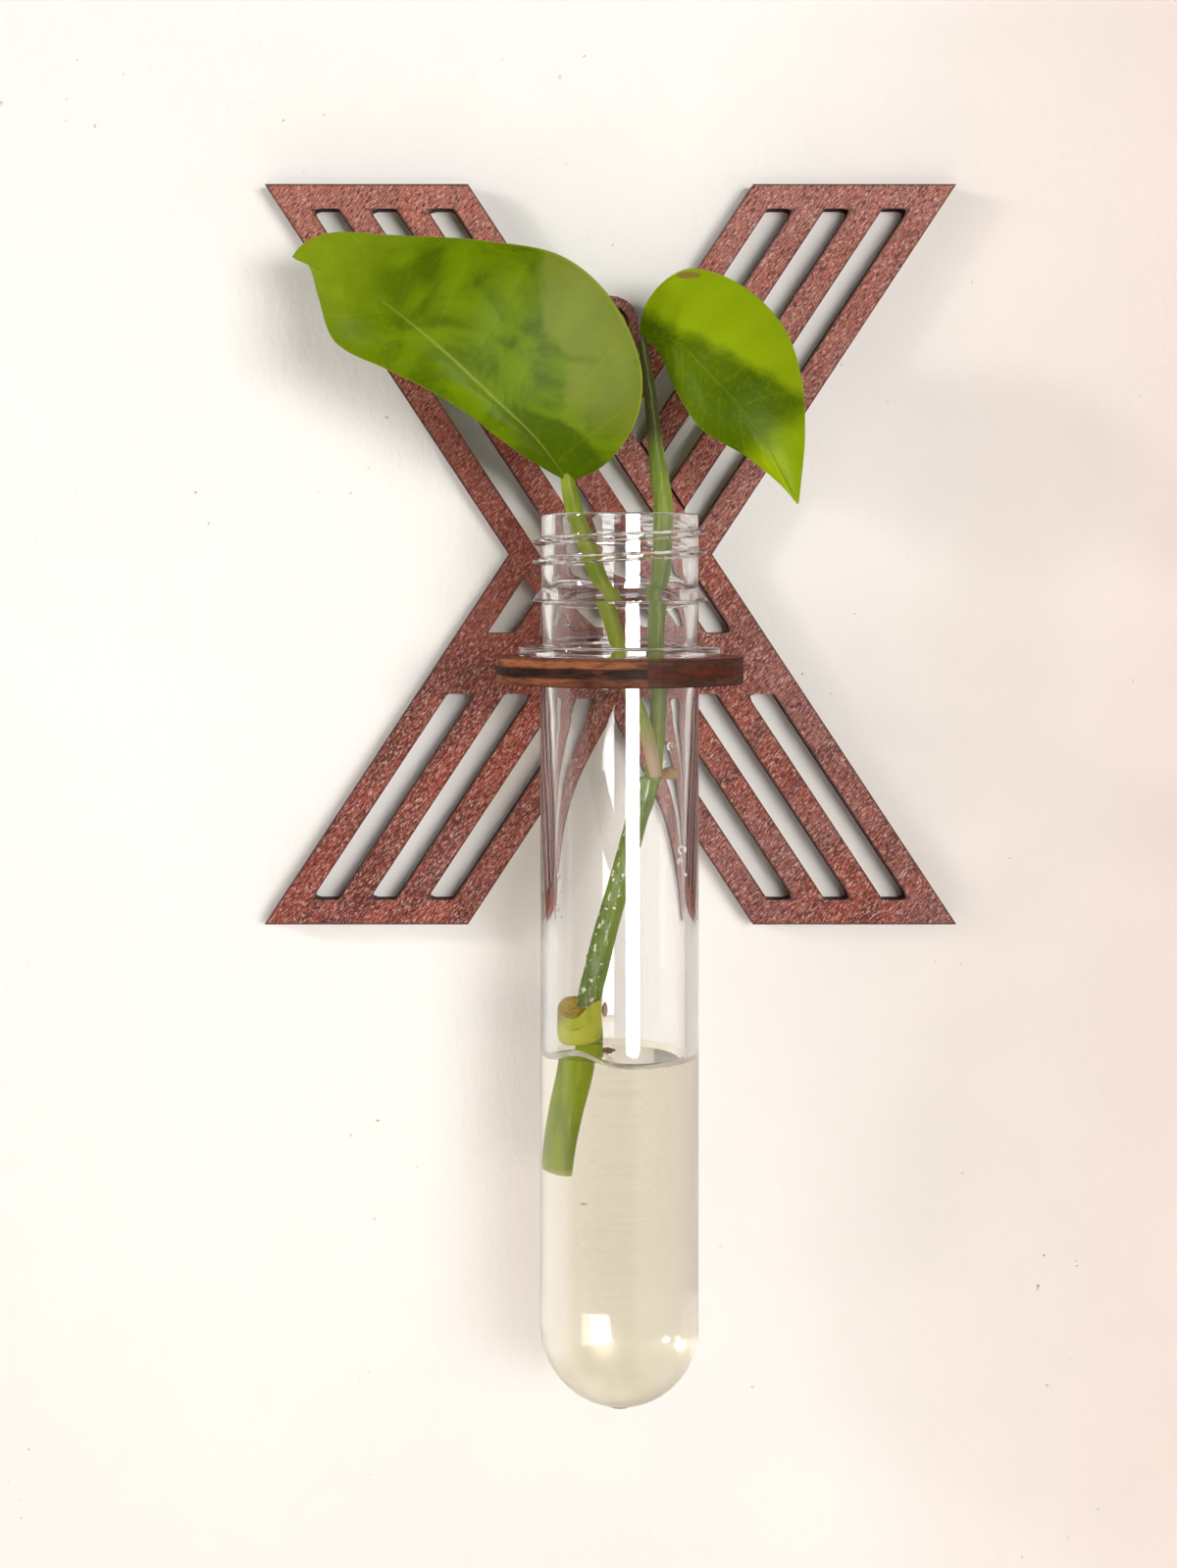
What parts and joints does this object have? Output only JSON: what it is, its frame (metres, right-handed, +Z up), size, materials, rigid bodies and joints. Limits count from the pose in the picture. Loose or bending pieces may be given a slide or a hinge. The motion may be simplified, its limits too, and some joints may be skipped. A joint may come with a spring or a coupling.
{
  "type": "propagation station",
  "caption": "Wall-hung propagation station: slotted plywood plate of crossed strokes with a round shelf holding a clear threaded test tube of water and a leafy cutting.",
  "frame": {"origin": "centre of the hanging hole, on the plate's back face, which lies on the wall", "axes": "+Z up; +Y out of the plate's back, into the wall; -Y towards the viewer; +X to the viewer's right"},
  "size_m": [0.116, 0.047, 0.197],
  "materials": {
    "plate_face": "mahogany-stained veneer, speckled open grain, dull satin",
    "plate_core": "dark inner ply, charred along its cut edges",
    "shelf_face": "stained veneer, orange-brown and partly charred at the cut edge",
    "shelf_core": "dark inner ply, charred at the cut edge",
    "clear_plastic": "clear, glossy moulded plastic",
    "water": "clear water, faintly yellow-grey",
    "stem_lower": "smooth bright green stem, glossy",
    "stem_upper": "smooth green stem, glossy",
    "petiole_stub": "pale yellow-green with a brown cut",
    "bud": "brown, dull",
    "root": "red-brown, dull",
    "aerial_root": "brown, dull, cut off",
    "petiole_right": "smooth green leaf stalk, satin",
    "petiole_left": "smooth bright green leaf stalk, satin",
    "leaf": "glossy yellow-green leaf with paler margins"
  },
  "bodies": {
    "holder": {"plate_back_veneer": "plate_face", "plate_core": "plate_core", "plate_front_veneer": "plate_face", "shelf_bottom_veneer": "shelf_face", "shelf_core": "shelf_core", "shelf_top_veneer": "shelf_face"},
    "water": {"water": "water"},
    "tube": {"test_tube": "clear_plastic"},
    "cutting": {"stem_lower": "stem_lower", "stem_upper": "stem_upper", "petiole_stub": "petiole_stub", "bud": "bud", "root_nub": "root", "aerial_root": "aerial_root", "petiole_right": "petiole_right", "petiole_left": "petiole_left", "leaf_left": "leaf", "leaf_right": "leaf"}
  },
  "joints": [
    {"name": "tube_lift", "type": "slide", "parent": "holder", "child": "water", "axis": [0, 0, 1], "range_m": [0, 0.125]},
    {"name": "tube_spin", "type": "hinge", "parent": "water", "child": "tube", "pos_m": [0, -0.0274, -0.0548], "axis": [0, 0, 1], "continuous": true},
    {"name": "cutting_lift", "type": "slide", "parent": "water", "child": "cutting", "axis": [0, 0, 1], "range_m": [0, 0.12]}
  ]
}
